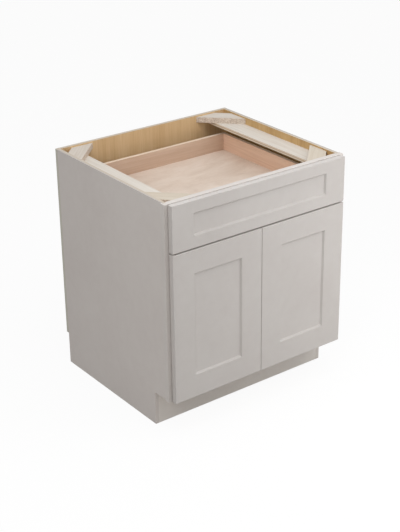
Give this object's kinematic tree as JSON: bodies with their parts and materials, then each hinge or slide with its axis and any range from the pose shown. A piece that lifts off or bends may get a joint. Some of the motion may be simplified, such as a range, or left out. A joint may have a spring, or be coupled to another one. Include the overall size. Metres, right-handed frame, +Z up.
{
  "type": "kitchen base cabinet",
  "caption": "Face-frame kitchen base cabinet with an open top, a wide shaker drawer on side slides over paired shaker doors on cup hinges, an inside shelf and a toe space.",
  "frame": {"origin": "centre of the footprint, on the floor", "axes": "+Z up, -Y towards a person in front of the doors, +X to that person's right"},
  "size_m": [0.6858, 0.6184, 0.762],
  "materials": {
    "painted_wood": "satin warm grey paint",
    "birch_plywood": "clear-coated birch plywood",
    "light_plywood": "plain sanded plywood",
    "drawer_birch": "clear-coated birch",
    "zinc_steel": "bright zinc plating",
    "nickel_steel": "satin nickel plating",
    "clear_bumper": "clear soft plastic"
  },
  "bodies": {
    "cabinet": {"left_side": "painted_wood", "right_side": "painted_wood", "back_panel": "birch_plywood", "bottom_panel": "birch_plywood", "toe_kick_board": "painted_wood", "left_frame_stile": "painted_wood", "right_frame_stile": "painted_wood", "top_frame_rail": "painted_wood", "middle_frame_rail": "painted_wood", "bottom_frame_rail": "painted_wood", "left_stretcher": "light_plywood", "right_stretcher": "light_plywood", "front_left_corner_block": "light_plywood", "front_right_corner_block": "light_plywood", "rear_left_corner_block": "light_plywood", "rear_right_corner_block": "light_plywood", "shelf": "birch_plywood", "shelf_supports": "nickel_steel", "carcass_screws": "zinc_steel", "left_slide_outer": "zinc_steel", "right_slide_outer": "zinc_steel", "left_slide_bracket": "zinc_steel", "right_slide_bracket": "zinc_steel", "left_hinge_bases": "nickel_steel", "right_hinge_bases": "nickel_steel"},
    "left_door": {"left_door_hinge_stile": "painted_wood", "left_door_meeting_stile": "painted_wood", "left_door_top_rail": "painted_wood", "left_door_bottom_rail": "painted_wood", "left_door_panel": "painted_wood", "left_door_bumpers": "clear_bumper", "left_hinge_cups": "nickel_steel", "left_hinge_cup_screws": "zinc_steel"},
    "right_door": {"right_door_hinge_stile": "painted_wood", "right_door_meeting_stile": "painted_wood", "right_door_top_rail": "painted_wood", "right_door_bottom_rail": "painted_wood", "right_door_panel": "painted_wood", "right_door_bumpers": "clear_bumper", "right_hinge_cups": "nickel_steel", "right_hinge_cup_screws": "zinc_steel"},
    "left_hinge_arms": {"left_hinge_links": "nickel_steel"},
    "right_hinge_arms": {"right_hinge_links": "nickel_steel"},
    "left_slide_middle_member": {"left_slide_middle": "zinc_steel"},
    "right_slide_middle_member": {"right_slide_middle": "zinc_steel"},
    "drawer": {"drawer_left_side": "drawer_birch", "drawer_right_side": "drawer_birch", "drawer_box_front": "drawer_birch", "drawer_box_back": "drawer_birch", "drawer_bottom": "light_plywood", "drawer_front_left_stile": "painted_wood", "drawer_front_right_stile": "painted_wood", "drawer_front_top_rail": "painted_wood", "drawer_front_bottom_rail": "painted_wood", "drawer_front_panel": "painted_wood", "drawer_screws": "zinc_steel", "drawer_bumpers": "clear_bumper", "left_slide_inner": "zinc_steel", "right_slide_inner": "zinc_steel"}
  },
  "joints": [
    {"name": "drawer_slide", "type": "slide", "parent": "cabinet", "child": "drawer", "axis": [0, -1, 0], "range_m": [0, 0.53]},
    {"name": "left_slide_middle_run", "type": "slide", "parent": "cabinet", "child": "left_slide_middle_member", "axis": [0, -1, 0], "range_m": [0, 0.265]},
    {"name": "right_slide_middle_run", "type": "slide", "parent": "cabinet", "child": "right_slide_middle_member", "axis": [0, -1, 0], "range_m": [0, 0.265]},
    {"name": "left_hinge_arm_swing", "type": "hinge", "parent": "cabinet", "child": "left_hinge_arms", "pos_m": [-0.2855, -0.27975, 0.3624], "axis": [0, 0, 1], "range_deg": [0, 12.6]},
    {"name": "left_door_swing", "type": "hinge", "parent": "left_hinge_arms", "child": "left_door", "pos_m": [-0.3215, -0.29625, 0.3624], "axis": [0, 0, -1], "range_deg": [0, 117.6]},
    {"name": "right_hinge_arm_swing", "type": "hinge", "parent": "cabinet", "child": "right_hinge_arms", "pos_m": [0.2855, -0.27975, 0.3624], "axis": [0, 0, -1], "range_deg": [0, 12.6]},
    {"name": "right_door_swing", "type": "hinge", "parent": "right_hinge_arms", "child": "right_door", "pos_m": [0.3215, -0.29625, 0.3624], "axis": [0, 0, 1], "range_deg": [0, 117.6]}
  ],
  "couplings": [
    {"joint": "left_slide_middle_run", "follows": "drawer_slide", "ratio": 0.5},
    {"joint": "right_slide_middle_run", "follows": "drawer_slide", "ratio": 0.5},
    {"joint": "left_hinge_arm_swing", "follows": "left_door_swing", "ratio": 0.10714},
    {"joint": "right_hinge_arm_swing", "follows": "right_door_swing", "ratio": 0.10714}
  ]
}
